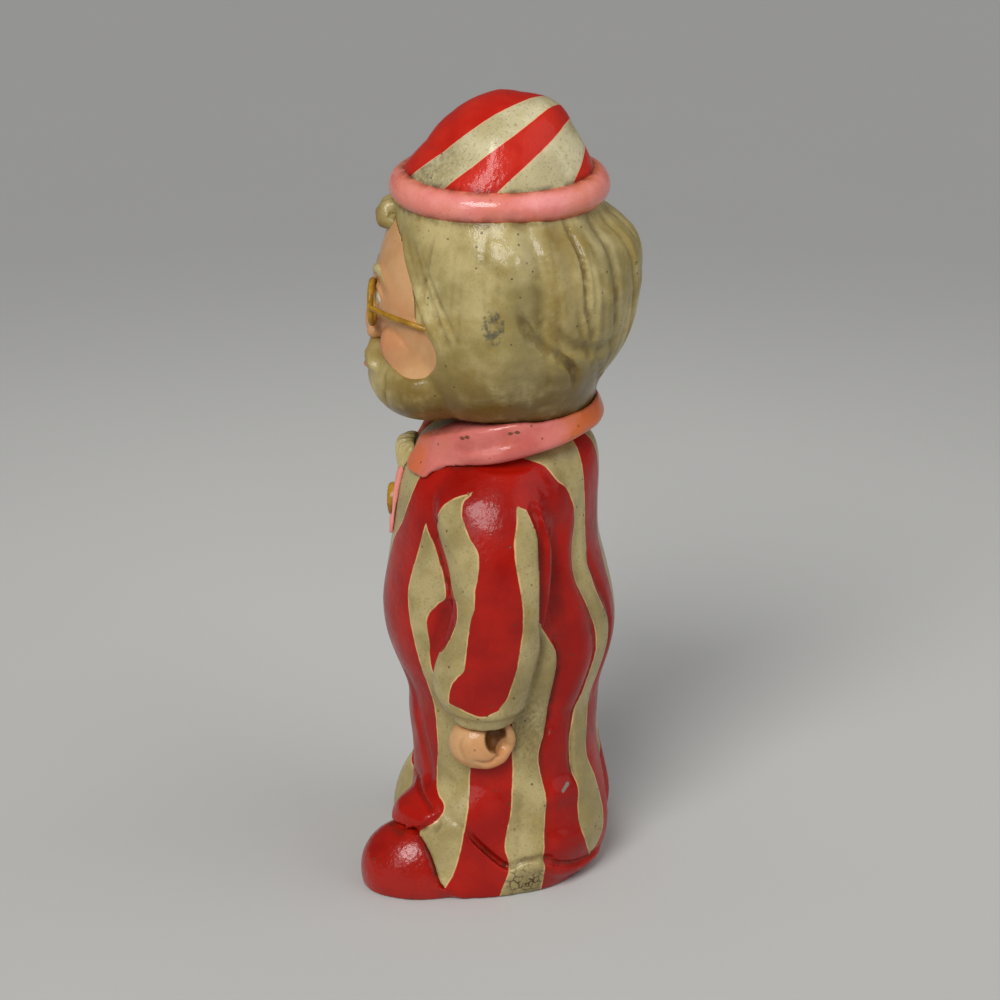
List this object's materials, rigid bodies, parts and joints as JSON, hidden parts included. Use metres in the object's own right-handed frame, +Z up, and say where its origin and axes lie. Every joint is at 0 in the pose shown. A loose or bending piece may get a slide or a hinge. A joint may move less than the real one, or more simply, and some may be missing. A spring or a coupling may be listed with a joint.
{
  "type": "chalkware figure",
  "caption": "Painted hollow plaster figure of a bearded man in a striped suit, pink collar and rolled striped cap, standing on its own open base",
  "frame": {"origin": "middle of the bounding box at the floor the figure stands on", "axes": "+Z up, the figure faces -Y, its left side is +X"},
  "size_m": [0.0802, 0.0757, 0.216],
  "materials": {
    "suit_paint": "painted plaster under gloss varnish",
    "shoe_paint": "painted plaster under gloss varnish",
    "flesh_paint": "painted plaster under gloss varnish",
    "hair_paint": "painted plaster under gloss varnish",
    "pink_paint": "painted plaster under gloss varnish",
    "gold_paint": "painted plaster under gloss varnish",
    "eye_paint": "painted plaster under gloss varnish",
    "cap_paint": "painted plaster under gloss varnish"
  },
  "bodies": {
    "root": {"torso": "suit_paint", "left_leg": "suit_paint", "right_leg": "suit_paint", "left_hem": "suit_paint", "right_hem": "suit_paint", "left_sleeve": "suit_paint", "right_sleeve": "suit_paint", "left_cuff": "suit_paint", "right_cuff": "suit_paint", "left_shoe": "shoe_paint", "right_shoe": "shoe_paint", "left_hand": "flesh_paint", "right_hand": "flesh_paint", "face": "flesh_paint", "nose": "flesh_paint", "hair": "hair_paint", "beard": "hair_paint", "moustache": "hair_paint", "fringe": "hair_paint", "jabot": "hair_paint", "neck": "pink_paint", "collar": "pink_paint", "ribbon": "pink_paint", "cap_roll": "pink_paint", "medallion": "gold_paint", "spectacles": "gold_paint", "left_eye": "eye_paint", "right_eye": "eye_paint", "cap_crown": "cap_paint"}
  },
  "joints": []
}
